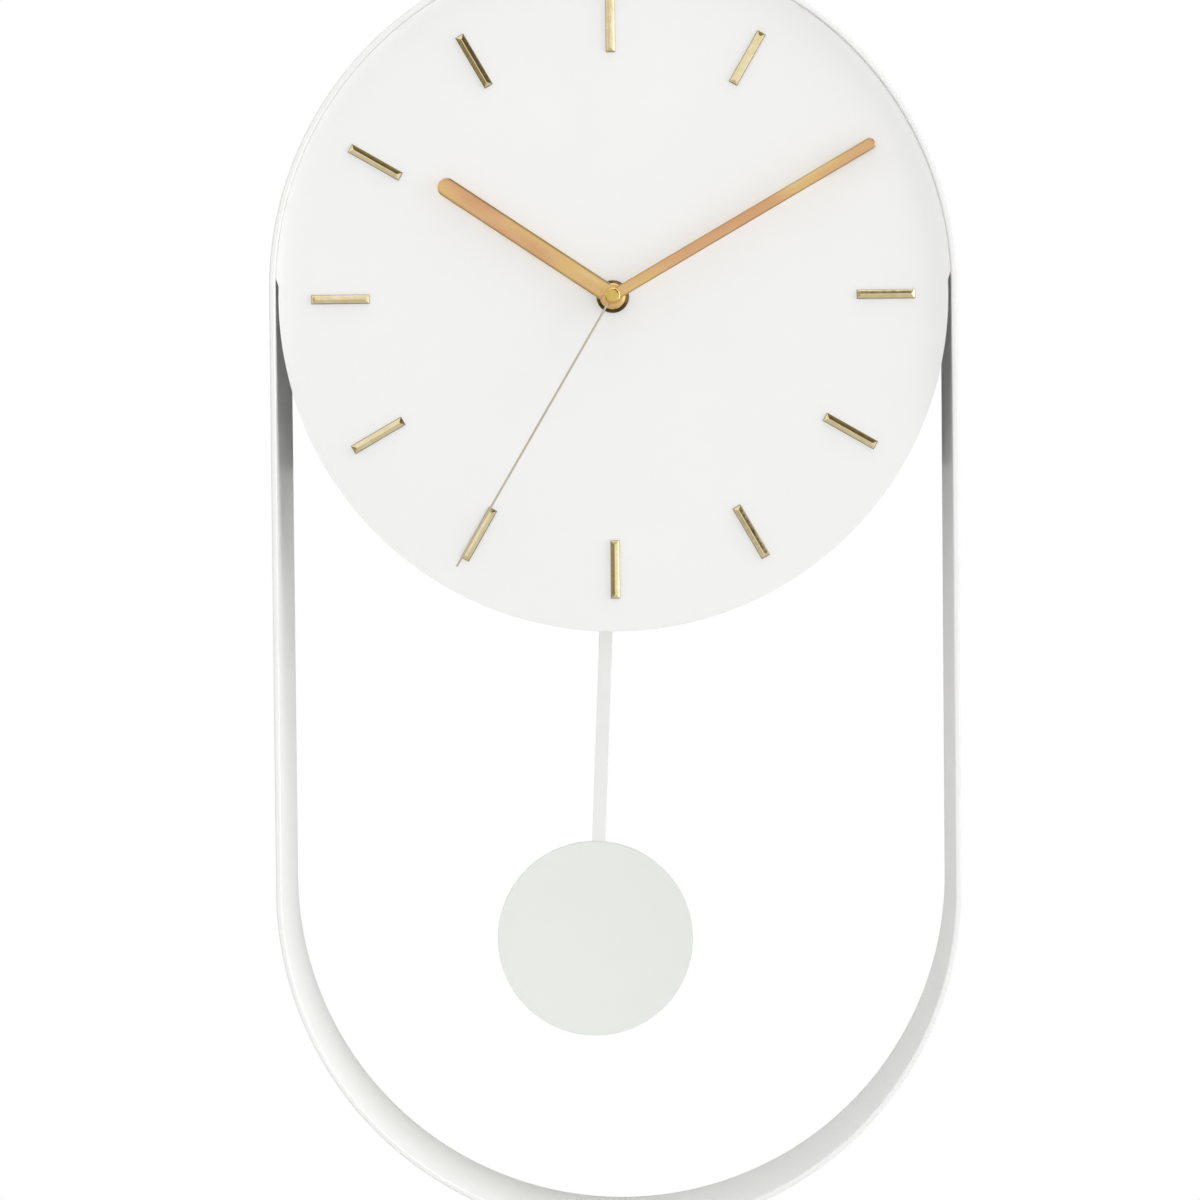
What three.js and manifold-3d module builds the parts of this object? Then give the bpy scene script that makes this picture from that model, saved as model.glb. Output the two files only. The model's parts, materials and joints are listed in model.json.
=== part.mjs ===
// A pendulum wall clock: a round dial held in the top of a bent steel strip, with a quartz movement
// behind the dial and a pendulum in the open lower half.
//
// Millimetres. X is to the right as the clock is read, Z is up, the front faces -Y and the wall is the
// plane Y = 0. The origin is where the wall screw's shank sits, at the top of the hanger's keyhole.

import * as THREE from 'three';
import { mergeVertices } from 'three/addons/utils/BufferGeometryUtils.js';
import Module from 'manifold-3d';

const wasm = await Module();
wasm.setup();

// ---------------------------------------------------------------- driving dimensions

const DEPTH = 48; // of the strip, from the wall to its front edge
const OUTER_R = 112; // of the strip's two half circles
const STRIP_T = 1.8;
const SHAFT_Z = -70; // height of the hands' axis
const TOP_ARC_RISE = 2.6; // the strip's upper arc is centred this far above the hands' axis
const LOWER_ARC_DROP = 194.5; // and its lower arc this far below it

const DIAL_R = 109.3; // of the free lower half
const DIAL_T = 1;
const DIAL_RECESS = 3; // behind the strip's front edge
const DIAL_FIT_GAP = 0.15; // between the dial's upper half and the strip
const DIAL_STEP = { top: 7, bottom: 4.5 }; // above the hands' axis, where the two halves meet

const MARKER = { radius: 89, length: 19, width: 3, height: 1.2, chamfer: 0.6 };
const HOUR = { angle: 303.8, length: 67.6, width: 6.2, eye: 4.2, t: 0.6 };
const MINUTE = { angle: 60, length: 98.7, width: 3.8, eye: 3.8, t: 0.6 };
const SECOND = { angle: 210.5, length: 101.5, width: 0.7, eye: 2.2, t: 0.4 };
const CAP = { r: 2.6, t: 1.2 };
const NUT_R = 5.3;
const WASHER_R = 9;

const CASE = { halfWidth: 28, above: 28, below: 68, depth: 17, wall: 1, corner: 3 };
const PIVOT_DROP = 24; // the pendulum's pivot below the hands' axis
const BOB_DROP = 189; // the bob's centre below the pivot
const BOB_R = 32.6;
const SWING_AT_REST = 2.5; // degrees towards -X, where the pendulum is stored

// ---------------------------------------------------------------- planes, front to back

const INNER_R = OUTER_R - STRIP_T;
const TOP_ARC_Z = SHAFT_Z + TOP_ARC_RISE;
const LOWER_ARC_Z = SHAFT_Z - LOWER_ARC_DROP;
const DIAL_FRONT = -DEPTH + DIAL_RECESS;
const DIAL_BACK = DIAL_FRONT + DIAL_T;
const CASE_FRONT = DIAL_BACK + 1; // a rubber washer fills the gap behind the dial
const CASE_BACK = CASE_FRONT + CASE.depth;
const CASE_SPLIT = CASE_FRONT + CASE.depth / 2;
const INSIDE_FRONT = CASE_FRONT + CASE.wall;
const INSIDE_BACK = CASE_BACK - CASE.wall;
const NUT_FRONT = DIAL_FRONT - 2;
const HOUR_BACK = NUT_FRONT - 0.6;
const MINUTE_BACK = HOUR_BACK - HOUR.t - 1;
const SECOND_BACK = MINUTE_BACK - MINUTE.t - 1;
const CAP_BACK = SECOND_BACK - SECOND.t;

// ---------------------------------------------------------------- materials

function material(color, roughness, metalness) {
  return new THREE.MeshStandardMaterial({ color, roughness, metalness });
}

const paint = () => material(0xf0f0ee, 0.55, 0);
const bobPaint = () => material(0xe4e7e3, 0.6, 0);
const satinGold = () => material(0xd8a868, 0.35, 1);
const polishedBrass = () => material(0xd9b968, 0.15, 1);
const zincSteel = () => material(0xb9bcc0, 0.35, 1);
const blackPlastic = () => material(0x1c1c1e, 0.6, 0);
const whitePlastic = () => material(0xe9e6dc, 0.5, 0);
const rubber = () => material(0x2a2a2a, 0.9, 0);
const copper = () => material(0xb5663a, 0.35, 1);
const ferrite = () => material(0x3b3d40, 0.5, 0.6);
const boardGreen = () => material(0x2f6b45, 0.6, 0);
const batterySleeve = () => material(0x46607c, 0.4, 0.3);

// ---------------------------------------------------------------- shapes and solids

const rad = THREE.MathUtils.degToRad;

function onCircle(radius, degrees) {
  return new THREE.Vector2(radius * Math.cos(rad(degrees)), radius * Math.sin(rad(degrees)));
}

// An outline is drawn in X and Z; the plate runs from its back plane forward to its front plane.
function plate(outline, back, front, curveSegments = 8) {
  const geometry = new THREE.ExtrudeGeometry(outline, {
    depth: back - front,
    bevelEnabled: false,
    curveSegments,
  });
  geometry.rotateX(Math.PI / 2);
  geometry.translate(0, back, 0);
  return geometry;
}

function circle(radius, x = 0, z = 0) {
  const outline = new THREE.Shape();
  outline.absarc(x, z, radius, 0, 2 * Math.PI);
  return outline;
}

function rectangle(left, bottom, right, top, corner = 0) {
  const outline = new THREE.Shape();
  outline.moveTo(left + corner, bottom);
  outline.lineTo(right - corner, bottom);
  if (corner) outline.absarc(right - corner, bottom + corner, corner, -Math.PI / 2, 0);
  outline.lineTo(right, top - corner);
  if (corner) outline.absarc(right - corner, top - corner, corner, 0, Math.PI / 2);
  outline.lineTo(left + corner, top);
  if (corner) outline.absarc(left + corner, top - corner, corner, Math.PI / 2, Math.PI);
  outline.lineTo(left, bottom + corner);
  if (corner) outline.absarc(left + corner, bottom + corner, corner, Math.PI, 1.5 * Math.PI);
  return outline;
}

// Two half circles joined by straight sides.
function stadium(radius, upperZ, lowerZ) {
  const outline = new THREE.Shape();
  outline.absarc(0, upperZ, radius, 0, Math.PI);
  outline.absarc(0, lowerZ, radius, Math.PI, 2 * Math.PI);
  return outline;
}

function ring(outer, inner, x = 0, z = 0) {
  const outline = circle(outer, x, z);
  outline.holes.push(circle(inner, x, z));
  return outline;
}

function rod(radius, back, front, at = { x: 0, y: 0 }, curveSegments = 6) {
  return plate(circle(radius, at.x, at.y), back, front, curveSegments);
}

function solidOf(geometry) {
  const bare = geometry.clone();
  bare.deleteAttribute('normal');
  bare.deleteAttribute('uv');
  const merged = mergeVertices(bare, 1e-4);
  const mesh = new wasm.Mesh({
    numProp: 3,
    vertProperties: new Float32Array(merged.attributes.position.array),
    triVerts: new Uint32Array(merged.index.array),
  });
  return new wasm.Manifold(mesh);
}

function geometryOf(solid) {
  const mesh = solid.getMesh();
  const geometry = new THREE.BufferGeometry();
  geometry.setAttribute('position', new THREE.BufferAttribute(new Float32Array(mesh.vertProperties), 3));
  geometry.setIndex(new THREE.BufferAttribute(new Uint32Array(mesh.triVerts), 1));
  return geometry;
}

function join(...geometries) {
  return geometryOf(geometries.map(solidOf).reduce((whole, piece) => whole.add(piece)));
}

function cut(geometry, ...tools) {
  return geometryOf(tools.map(solidOf).reduce((whole, tool) => whole.subtract(tool), solidOf(geometry)));
}

// ---------------------------------------------------------------- the assembly

const clock = new THREE.Group();

const shaft = new THREE.Group();
shaft.position.z = SHAFT_Z;
clock.add(shaft);

const pendulum = new THREE.Group();
pendulum.position.z = SHAFT_Z - PIVOT_DROP;
pendulum.rotation.y = rad(SWING_AT_REST);
clock.add(pendulum);

function place(parent, name, geometry, finish, degrees = 0) {
  const mesh = new THREE.Mesh(geometry, finish);
  mesh.name = name;
  mesh.rotation.y = rad(degrees);
  parent.add(mesh);
}

// ---------------------------------------------------------------- strip, dial and hour markers

function frameBand() {
  const outline = stadium(OUTER_R, TOP_ARC_Z, LOWER_ARC_Z);
  outline.holes.push(stadium(INNER_R, TOP_ARC_Z, LOWER_ARC_Z));
  return plate(outline, 0, -DEPTH, 24);
}

const BUSHING = { outer: 4, inner: 2.8, flange: 5.2, flangeT: 0.4 };
const BUSHING_HOLE_R = BUSHING.outer + 0.2;

// The upper half fits the strip's upper arc. Below a small step the edge is a circle about the hands.
function dial() {
  const fitR = INNER_R - DIAL_FIT_GAP;
  const fitEnd = Math.asin((DIAL_STEP.top - TOP_ARC_RISE) / fitR);
  const freeEnd = Math.asin(DIAL_STEP.bottom / DIAL_R);
  const outline = new THREE.Shape();
  outline.absarc(0, TOP_ARC_RISE, fitR, fitEnd, Math.PI - fitEnd);
  outline.absarc(0, 0, DIAL_R, Math.PI - freeEnd, 2 * Math.PI + freeEnd);
  outline.holes.push(circle(BUSHING_HOLE_R));
  return plate(outline, DIAL_BACK, DIAL_FRONT, 36);
}

// A bar with a bevel along each edge and mitred ends, as a cast marker has.
function marker() {
  const { radius, length, width, height, chamfer } = MARKER;
  const geometry = new THREE.BoxGeometry(width, height, length, 1, 2, 1);
  const position = geometry.attributes.position;
  for (let i = 0; i < position.count; i += 1) {
    const onFront = position.getY(i) < -height / 4;
    if (onFront) {
      position.setX(i, Math.sign(position.getX(i)) * (width / 2 - chamfer));
      position.setZ(i, Math.sign(position.getZ(i)) * (length / 2 - chamfer));
    }
  }
  geometry.translate(0, DIAL_FRONT - height / 2, radius);
  return geometry;
}

place(clock, 'frame_band', frameBand(), paint());
place(shaft, 'dial', dial(), paint());
for (let hour = 1; hour <= 12; hour += 1) {
  place(shaft, `marker_${String(hour).padStart(2, '0')}`, marker(), polishedBrass(), 30 * hour);
}

// ---------------------------------------------------------------- hanger and dial fixings

const WELD_GAP = 0.3;
const BRACKET = { t: 1.5, top: 8, bottom: -18, tab: 12 };
const KEYHOLE = { slot: 2.5, head: 4.5, drop: 9 };

// The slot's top is centred on the origin and opens into the round hole that passes the screw's head.
function keyhole() {
  const neck = Math.asin(KEYHOLE.slot / KEYHOLE.head);
  const outline = new THREE.Shape();
  outline.absarc(0, 0, KEYHOLE.slot, 0, Math.PI);
  outline.absarc(0, -KEYHOLE.drop, KEYHOLE.head, Math.PI / 2 + neck, Math.PI * 2.5 - neck);
  return outline;
}

// A strap across the back, whose ends turn forward along the inside of the strip.
function hangerBracket() {
  const reach = INNER_R - WELD_GAP;
  const low = Math.asin((BRACKET.bottom - TOP_ARC_Z) / reach);
  const high = Math.asin((BRACKET.top - TOP_ARC_Z) / reach);
  const strap = new THREE.Shape();
  strap.absarc(0, TOP_ARC_Z, reach, low, high);
  strap.absarc(0, TOP_ARC_Z, reach, Math.PI - high, Math.PI - low);
  const rightTab = new THREE.Shape();
  rightTab.absarc(0, TOP_ARC_Z, reach, low, high);
  rightTab.absarc(0, TOP_ARC_Z, reach - BRACKET.t, high, low, true);
  const leftTab = new THREE.Shape();
  leftTab.absarc(0, TOP_ARC_Z, reach, Math.PI - high, Math.PI - low);
  leftTab.absarc(0, TOP_ARC_Z, reach - BRACKET.t, Math.PI - low, Math.PI - high, true);
  const blank = join(
    plate(strap, 0, -BRACKET.t, 4),
    plate(rightTab, 0, -BRACKET.tab, 4),
    plate(leftTab, 0, -BRACKET.tab, 4),
  );
  return cut(blank, plate(keyhole(), 1, -BRACKET.t - 1, 8));
}

place(clock, 'hanger_bracket', hangerBracket(), paint());

const TAB = { width: 10, t: 1.2, foot: 13, leg: 14 };
const STUD = { r: 1.5, inset: 8, length: 7 };
const NUT = { acrossFlats: 5.5, t: 2.4 };

// Each fixing is drawn at the strip's top and turned to its place about the upper arc's centre.
const fixings = new THREE.Group();
fixings.position.z = TOP_ARC_Z;
clock.add(fixings);

const STUD_AT = new THREE.Vector2(0, INNER_R - STUD.inset);
const FOOT_REAR = DIAL_BACK + TAB.t;

function dialTab() {
  const outerEdge = INNER_R - 2 * WELD_GAP;
  const half = TAB.width / 2;
  const foot = rectangle(-half, outerEdge - TAB.foot, half, outerEdge);
  foot.holes.push(circle(STUD.r + 0.3, STUD_AT.x, STUD_AT.y));
  const leg = rectangle(-half, outerEdge - TAB.t, half, outerEdge);
  return join(plate(foot, FOOT_REAR, DIAL_BACK), plate(leg, DIAL_BACK + TAB.leg, DIAL_BACK));
}

function dialStud() {
  return rod(STUD.r, DIAL_BACK + STUD.length, DIAL_BACK, STUD_AT);
}

function hexNut() {
  const points = [];
  for (let corner = 0; corner < 6; corner += 1) {
    points.push(onCircle(NUT.acrossFlats / Math.sqrt(3), 60 * corner).add(STUD_AT));
  }
  const outline = new THREE.Shape(points);
  outline.holes.push(circle(STUD.r + 0.1, STUD_AT.x, STUD_AT.y));
  return plate(outline, FOOT_REAR + NUT.t, FOOT_REAR, 6);
}

const FIXINGS = { right: 70, top: 0, left: -70 };
for (const [side, degrees] of Object.entries(FIXINGS)) {
  place(fixings, `dial_tab_${side}`, dialTab(), paint(), degrees);
  place(fixings, `dial_stud_${side}`, dialStud(), zincSteel(), degrees);
  place(fixings, `dial_nut_${side}`, hexNut(), zincSteel(), degrees);
}

// ---------------------------------------------------------------- hands

const HOUR_PIPE = { outer: 2.5, inner: 1.7 };
const MINUTE_PIPE = { outer: 1.5, inner: 0.7 };
const ARBOR_R = 0.5;
const PRESS_GAP = 0.02; // left between a hand and the pipe it is pressed on
const RUNNING = 0.1; // clearance of a running fit

// A parallel strip with a round end, running out of the eye that sits on its pipe.
function hand({ length, width, eye, t }, pipeR, back) {
  const half = width / 2;
  const start = Math.asin(Math.min(1, half / eye));
  const outline = new THREE.Shape();
  outline.absarc(0, length - half, half, 0, Math.PI);
  outline.absarc(0, 0, eye, Math.PI / 2 + start, Math.PI * 2.5 - start);
  outline.holes.push(circle(pipeR + PRESS_GAP));
  return plate(outline, back, back - t, 10);
}

place(shaft, 'hour_hand', hand(HOUR, HOUR_PIPE.outer, HOUR_BACK), satinGold(), HOUR.angle);
place(shaft, 'minute_hand', hand(MINUTE, MINUTE_PIPE.outer, MINUTE_BACK), satinGold(), MINUTE.angle);
place(shaft, 'second_hand', hand(SECOND, ARBOR_R, SECOND_BACK), satinGold(), SECOND.angle);
place(shaft, 'centre_cap', plate(circle(CAP.r), CAP_BACK, CAP_BACK - CAP.t, 10), polishedBrass());

const nutRing = ring(NUT_R, BUSHING.outer + RUNNING);
const washerRing = ring(WASHER_R, BUSHING_HOLE_R);
place(shaft, 'front_nut', plate(nutRing, DIAL_FRONT, NUT_FRONT, 12), polishedBrass());
place(shaft, 'dial_washer', plate(washerRing, CASE_FRONT, DIAL_BACK, 12), rubber());

// ---------------------------------------------------------------- wheels and pinions

// Places in the train are seen from the front, from the hands' axis.
const MINUTE_WHEEL_AT = new THREE.Vector2(9, 0);
const SETTER_AT = onCircle(9, -60).add(MINUTE_WHEEL_AT);
const THIRD_AT = onCircle(10.8, 120);
const INTERMEDIATE_AT = onCircle(8.4, 200);
const ROTOR_AT = new THREE.Vector2(-7.2, 0).add(INTERMEDIATE_AT);
const CENTRE = new THREE.Vector2(0, 0);

// The wheels turn in six layers, numbered from the front.
const LAYER_T = 0.8;
const LAYER_STEP = 1.3;
const layerFront = (number) => INSIDE_FRONT + 0.5 + LAYER_STEP * (number - 1);
const layerBack = (number) => layerFront(number) + LAYER_T;
const POST_R = 0.5;
const MOTION_POST_R = 0.8;
const PINION_HUB_R = 0.8; // joins a pinion to its wheel
const SETTER_R = 1;

// A gear's phase is the angle of one tooth's middle, and its module follows from its mate's distance.
function gear(at, teeth, module, phase = 0) {
  return { at, teeth, module, phase };
}

// The mate's teeth stand in this gear's gaps where the two meet.
function meshed(driver, at, teeth) {
  const distance = driver.at.distanceTo(at);
  const towards = Math.atan2(at.y - driver.at.y, at.x - driver.at.x);
  const turned = ((towards - driver.phase) * driver.teeth) / (2 * Math.PI);
  const past = turned - Math.floor(turned);
  const phase = towards + Math.PI + ((past + 0.5) * 2 * Math.PI) / teeth;
  return gear(at, teeth, (2 * distance) / (driver.teeth + teeth), phase);
}

function moduleFor(distance, teethA, teethB) {
  return (2 * distance) / (teethA + teethB);
}

// Straight-sided teeth, thin enough to leave backlash.
function gearPlate({ at, teeth, module, phase }, layer) {
  const root = module * (teeth / 2 - 1.15);
  const tip = module * (teeth / 2 + 0.75);
  const flanks = [[-0.26, root], [-0.1, tip], [0.1, tip], [0.26, root]];
  const points = [];
  for (let tooth = 0; tooth < teeth; tooth += 1) {
    for (const [offset, radius] of flanks) {
      const angle = phase + ((tooth + offset) * 2 * Math.PI) / teeth;
      points.push(new THREE.Vector2(radius * Math.cos(angle), radius * Math.sin(angle)).add(at));
    }
  }
  const front = layerFront(layer);
  return plate(new THREE.Shape(points), front + LAYER_T, front);
}

const bore = (radius, at) => rod(radius, CASE_BACK, CAP_BACK, at, 8);

const cannon = gear(CENTRE, 12, moduleFor(9, 12, 36));
const minuteWheel = meshed(cannon, MINUTE_WHEEL_AT, 36);
const setterGear = meshed(minuteWheel, SETTER_AT, 12);
const minutePinion = gear(MINUTE_WHEEL_AT, 10, moduleFor(9, 10, 40));
const hourWheel = meshed(minutePinion, CENTRE, 40);
const centreWheel = gear(CENTRE, 64, moduleFor(10.8, 64, 8));
const thirdPinion = meshed(centreWheel, THIRD_AT, 8);
const thirdWheel = gear(THIRD_AT, 60, moduleFor(10.8, 60, 8));
const secondPinion = meshed(thirdWheel, CENTRE, 8);
const secondWheel = gear(CENTRE, 48, moduleFor(8.4, 48, 8));
const intermediatePinion = meshed(secondWheel, INTERMEDIATE_AT, 8);
const intermediateWheel = gear(INTERMEDIATE_AT, 40, moduleFor(7.2, 40, 8));
const rotorPinion = meshed(intermediateWheel, ROTOR_AT, 8);

function hourWheelAndPipe() {
  const pipe = rod(HOUR_PIPE.outer, layerBack(1), HOUR_BACK - HOUR.t, CENTRE, 8);
  return cut(join(gearPlate(hourWheel, 1), pipe), bore(HOUR_PIPE.inner, CENTRE));
}

function minutePipeAndCannon() {
  const pipe = rod(MINUTE_PIPE.outer, layerBack(3), MINUTE_BACK - MINUTE.t - 0.4, CENTRE, 8);
  return cut(join(gearPlate(cannon, 2), pipe), bore(MINUTE_PIPE.inner, CENTRE));
}

function minuteWheelAndPinion() {
  const hub = rod(1.3, layerBack(2), layerFront(1), MINUTE_WHEEL_AT);
  const blank = join(gearPlate(minutePinion, 1), gearPlate(minuteWheel, 2), hub);
  return cut(blank, bore(MOTION_POST_R + RUNNING, MINUTE_WHEEL_AT));
}

function settingShaft() {
  return join(gearPlate(setterGear, 2), rod(SETTER_R, CASE_BACK + 1, layerFront(2) - 0.8, SETTER_AT));
}

function centreWheelOnPipe() {
  return cut(gearPlate(centreWheel, 3), bore(MINUTE_PIPE.outer + RUNNING, CENTRE));
}

function thirdWheelAndPinion() {
  const hub = rod(PINION_HUB_R, layerBack(4) + 0.3, layerFront(3), THIRD_AT);
  const blank = join(gearPlate(thirdPinion, 3), gearPlate(thirdWheel, 4), hub);
  return cut(blank, bore(POST_R + RUNNING / 2, THIRD_AT));
}

function secondWheelAndArbor() {
  const arbor = rod(ARBOR_R, INSIDE_BACK - 0.6, CAP_BACK, CENTRE);
  const hub = rod(PINION_HUB_R, layerBack(5) + 0.4, layerFront(4), CENTRE);
  return join(gearPlate(secondPinion, 4), gearPlate(secondWheel, 5), hub, arbor);
}

function intermediateWheelAndPinion() {
  const hub = rod(PINION_HUB_R, layerBack(6) + 0.4, layerFront(5), INTERMEDIATE_AT);
  const blank = join(gearPlate(intermediatePinion, 5), gearPlate(intermediateWheel, 6), hub);
  return cut(blank, bore(POST_R + RUNNING / 2, INTERMEDIATE_AT));
}

const MAGNET_FRONT = layerBack(6) + 0.5;
const ROTOR_MAGNET = { r: 2.6, t: 2 };

function rotor() {
  const sleeve = rod(PINION_HUB_R, MAGNET_FRONT + ROTOR_MAGNET.t + 0.6, layerFront(6), ROTOR_AT);
  return cut(join(gearPlate(rotorPinion, 6), sleeve), bore(POST_R + RUNNING / 2, ROTOR_AT));
}

function rotorMagnet() {
  const outline = ring(ROTOR_MAGNET.r, PINION_HUB_R + PRESS_GAP, ROTOR_AT.x, ROTOR_AT.y);
  return plate(outline, MAGNET_FRONT + ROTOR_MAGNET.t, MAGNET_FRONT, 6);
}

place(shaft, 'hour_wheel', hourWheelAndPipe(), whitePlastic());
place(shaft, 'minute_pipe', minutePipeAndCannon(), polishedBrass());
place(shaft, 'minute_wheel', minuteWheelAndPinion(), whitePlastic());
place(shaft, 'setting_shaft', settingShaft(), whitePlastic());
place(shaft, 'centre_wheel', centreWheelOnPipe(), whitePlastic());
place(shaft, 'third_wheel', thirdWheelAndPinion(), whitePlastic());
place(shaft, 'second_wheel', secondWheelAndArbor(), zincSteel());
place(shaft, 'intermediate_wheel', intermediateWheelAndPinion(), whitePlastic());
place(shaft, 'rotor', rotor(), whitePlastic());
place(shaft, 'rotor_magnet', rotorMagnet(), ferrite());

const KNOB = { r: 5, flute: 0.4, flutes: 12, t: 2.6 };

// The setting knob's grip has shallow flutes.
function settingKnob() {
  const points = [];
  for (let step = 0; step < 4 * KNOB.flutes; step += 1) {
    const radius = step % 4 < 2 ? KNOB.r : KNOB.r - KNOB.flute;
    points.push(onCircle(radius, (step * 90) / KNOB.flutes).add(SETTER_AT));
  }
  return plate(new THREE.Shape(points), CASE_BACK + 1 + KNOB.t, CASE_BACK + 1);
}

place(shaft, 'setting_knob', settingKnob(), blackPlastic());

// ---------------------------------------------------------------- movement case

const BATTERY = { r: 7.1, length: 49.5, nub: 1, nubR: 2.75, drop: 59.6 };
const BAY_TOP = -BATTERY.drop + BATTERY.r + 0.7;
const BAY_HALF_WIDTH = 26;

function caseOutline(inset) {
  const { halfWidth, above, below, corner } = CASE;
  return rectangle(-halfWidth + inset, -below + inset, halfWidth - inset, above - inset, corner - inset);
}

function caseFront() {
  const shell = cut(
    plate(caseOutline(0), CASE_SPLIT, CASE_FRONT, 3),
    plate(caseOutline(CASE.wall), CASE_SPLIT + 1, INSIDE_FRONT, 3),
    rod(BUSHING.outer + 0.05, INSIDE_FRONT + 1, CASE_FRONT - 1, CENTRE, 12),
  );
  const inner = CASE.halfWidth - CASE.wall / 2;
  const bayWall = plate(rectangle(-inner, BAY_TOP, inner, BAY_TOP + CASE.wall), CASE_SPLIT, CASE_FRONT + 0.5);
  const post = rod(MOTION_POST_R, layerBack(2), CASE_FRONT + 0.5, MINUTE_WHEEL_AT, 8);
  return join(shell, bayWall, post);
}

function caseBack() {
  const bay = rectangle(-BAY_HALF_WIDTH, -CASE.below + CASE.wall, BAY_HALF_WIDTH, BAY_TOP);
  const shell = cut(
    plate(caseOutline(0), CASE_BACK, CASE_SPLIT, 3),
    plate(caseOutline(CASE.wall), INSIDE_BACK, CASE_SPLIT - 1, 3),
    plate(bay, CASE_BACK + 1, INSIDE_BACK - 1),
  );
  const inWall = CASE_BACK - CASE.wall / 2;
  const post = (layer, at) => rod(POST_R, inWall, layerFront(layer) - 0.2, at);
  const arborBoss = rod(ARBOR_R + 1.1, inWall, INSIDE_BACK - 3, CENTRE);
  return cut(
    join(shell, post(3, THIRD_AT), post(5, INTERMEDIATE_AT), post(6, ROTOR_AT), arborBoss),
    rod(ARBOR_R + RUNNING, INSIDE_BACK, INSIDE_BACK - 4, CENTRE, 8),
    rod(SETTER_R + 2 * RUNNING, CASE_BACK + 1, INSIDE_BACK - 1, SETTER_AT, 8),
  );
}

function centreBushing() {
  const tube = rod(BUSHING.outer, INSIDE_FRONT + BUSHING.flangeT, NUT_FRONT - 0.2, CENTRE, 12);
  const flange = rod(BUSHING.flange, INSIDE_FRONT + BUSHING.flangeT, INSIDE_FRONT, CENTRE, 12);
  return cut(join(tube, flange), rod(BUSHING.inner, CASE_BACK, CAP_BACK, CENTRE, 12));
}

place(shaft, 'case_front', caseFront(), blackPlastic());
place(shaft, 'case_back', caseBack(), blackPlastic());
place(shaft, 'centre_bushing', centreBushing(), polishedBrass());

// ---------------------------------------------------------------- electrical pieces

const BATTERY_Y = (INSIDE_FRONT + INSIDE_BACK) / 2;

function battery() {
  const { r, length, nub, nubR } = BATTERY;
  const edge = 0.6;
  const profile = [
    [0, -length / 2], [r - edge, -length / 2], [r, -length / 2 + edge], [r, length / 2 - edge],
    [r - edge, length / 2], [nubR, length / 2], [nubR, length / 2 + nub], [0, length / 2 + nub],
  ];
  const geometry = new THREE.LatheGeometry(profile.map(([x, y]) => new THREE.Vector2(x, y)), 24);
  geometry.rotateZ(-Math.PI / 2);
  geometry.translate(-nub / 2, BATTERY_Y, -BATTERY.drop);
  return geometry;
}

const CONTACT = { halfDepth: 5, plusHalf: 4, minusHalf: 5.5 };

function contact(left, right, halfHeight) {
  const outline = rectangle(left, -BATTERY.drop - halfHeight, right, -BATTERY.drop + halfHeight);
  return plate(outline, BATTERY_Y + CONTACT.halfDepth, BATTERY_Y - CONTACT.halfDepth);
}

const BATTERY_END = BATTERY.length / 2 + BATTERY.nub / 2;
const CONTACT_FACE = CASE.halfWidth - CASE.wall - RUNNING;

place(shaft, 'battery', battery(), batterySleeve());
place(shaft, 'contact_plus', contact(BATTERY_END + RUNNING, CONTACT_FACE, CONTACT.plusHalf), zincSteel());
place(shaft, 'contact_minus', contact(-CONTACT_FACE, -BATTERY_END - RUNNING, CONTACT.minusHalf), zincSteel());

const BOARD = { left: 5.5, right: 25, bottom: -48.5, top: -30, back: INSIDE_BACK - 1.2, t: 1.2 };
const BOARD_FRONT = BOARD.back - BOARD.t;
const CHIP = { r: 3, t: 1, at: { x: 11, y: -40 } };
const CRYSTAL = { r: 1, length: 6, x: 19, z: -44 };

function crystal() {
  const geometry = new THREE.CylinderGeometry(CRYSTAL.r, CRYSTAL.r, CRYSTAL.length, 12);
  geometry.rotateZ(Math.PI / 2);
  geometry.translate(CRYSTAL.x, BOARD_FRONT - CRYSTAL.r - 0.1, CRYSTAL.z);
  return geometry;
}

const board = rectangle(BOARD.left, BOARD.bottom, BOARD.right, BOARD.top);
place(shaft, 'circuit_board', plate(board, BOARD.back, BOARD_FRONT), boardGreen());
place(shaft, 'ic_chip', rod(CHIP.r, BOARD_FRONT, BOARD_FRONT - CHIP.t, CHIP.at, 8), blackPlastic());
place(shaft, 'quartz_crystal', crystal(), zincSteel());

const STATOR = { left: -25, right: -9.4, top: 1.5, shelf: -8, bottom: -19.5, leg: 2.4, t: 0.6 };
const STATOR_FRONT = MAGNET_FRONT + 0.7;
const MOTOR_COIL = { outer: 3.2, inner: 2, halfLength: 4.4 };
const COIL_Z = STATOR.bottom + 1.5;

function stator() {
  const { left, right, top, shelf, bottom, leg } = STATOR;
  const outline = rectangle(left, bottom, right, top);
  outline.holes.push(circle(ROTOR_MAGNET.r + 0.5, ROTOR_AT.x, ROTOR_AT.y));
  outline.holes.push(rectangle(left + leg, bottom + 3, right - leg, shelf));
  return plate(outline, STATOR_FRONT + STATOR.t, STATOR_FRONT);
}

function motorCoil() {
  const { outer, inner, halfLength } = MOTOR_COIL;
  const bottom = -halfLength;
  const top = halfLength;
  const profile = [[inner, bottom], [outer, bottom], [outer, top], [inner, top], [inner, bottom]];
  const geometry = new THREE.LatheGeometry(profile.map(([x, y]) => new THREE.Vector2(x, y)), 20);
  geometry.rotateZ(Math.PI / 2);
  geometry.translate((STATOR.left + STATOR.right) / 2, STATOR_FRONT + STATOR.t / 2, COIL_Z);
  return geometry;
}

const MAGNET_DROP = 14; // the pendulum's magnet, below the pivot
const DRIVE_COIL = { outer: 5, inner: 2, t: 4 };
const driveCoilRing = ring(DRIVE_COIL.outer, DRIVE_COIL.inner, 0, -PIVOT_DROP - MAGNET_DROP);

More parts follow.
